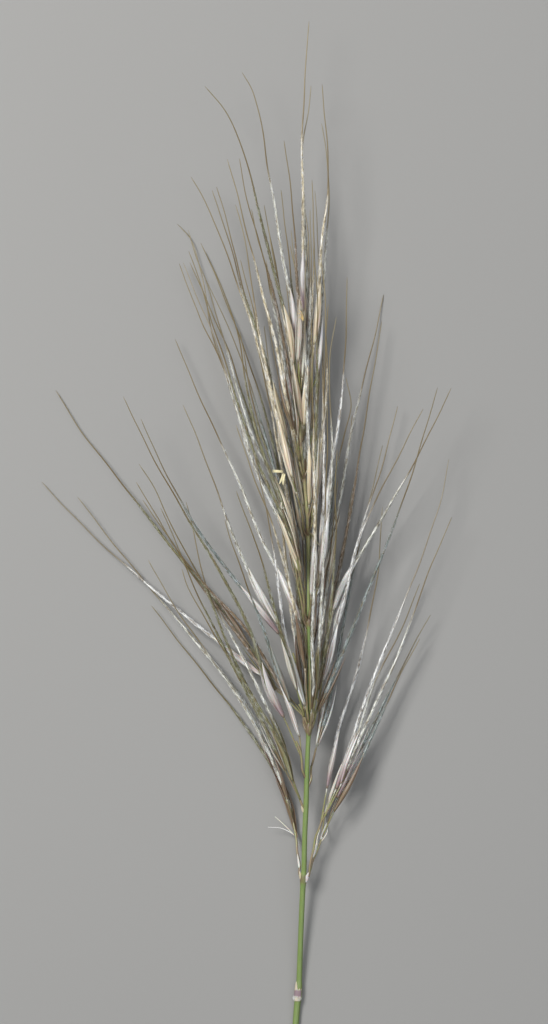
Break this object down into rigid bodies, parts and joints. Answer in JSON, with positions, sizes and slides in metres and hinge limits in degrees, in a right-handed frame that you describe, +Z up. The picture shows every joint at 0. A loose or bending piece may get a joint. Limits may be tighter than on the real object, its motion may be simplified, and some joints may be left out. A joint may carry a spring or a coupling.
{
  "type": "spear-grass flower stem",
  "caption": "Cut flowering stem of half-bearded spear-grass, laid down: a slender culm with whorled sprays of narrow, gaping glumes and long awns, feathery in their lower half.",
  "frame": {"origin": "the middle of the object's box on the surface that it lies on", "axes": "+Y along the stem from its cut end to the panicle's tip, +X across it, +Z up from the surface"},
  "size_m": [0.1157, 0.2902, 0.03],
  "materials": {
    "culm": "satin",
    "spikelets": "satin",
    "glumes": "satin",
    "awns": "satin",
    "hairs": "satin",
    "anthers": "matte"
  },
  "bodies": {
    "root": {"culm": "culm", "spray_01_base_right": "spikelets", "spray_02_base_right_outer": "spikelets", "spray_03_base_left": "spikelets", "spray_04_lower_left": "spikelets", "spray_05_lower_left_inner": "spikelets", "spray_06_knot_left_low": "spikelets", "spray_07_knot_left": "spikelets", "spray_08_knot_left_front": "spikelets", "spray_09_white_left": "spikelets", "spray_10_lower_right": "spikelets", "spray_11_knot_right": "spikelets", "spray_12_knot_right_back": "spikelets", "spray_13_knot_front": "spikelets", "spray_14_knot_back": "spikelets", "spray_15_long_left": "spikelets", "spray_16_middle_left": "spikelets", "spray_17_middle_left_front": "spikelets", "spray_18_middle_right": "spikelets", "spray_19_middle_front": "spikelets", "spray_20_middle_back": "spikelets", "spray_21_upper_left": "spikelets", "spray_22_upper_right": "spikelets", "spray_23_upper_front": "spikelets", "spray_24_upper_back": "spikelets", "spray_25_high_left": "spikelets", "spray_26_high_front": "spikelets", "spray_27_high_right": "spikelets", "spray_28_crown_left": "spikelets", "spray_29_crown_right": "spikelets", "spray_30_crown_top": "spikelets", "spray_31_crown_front": "spikelets"}
  },
  "joints": []
}
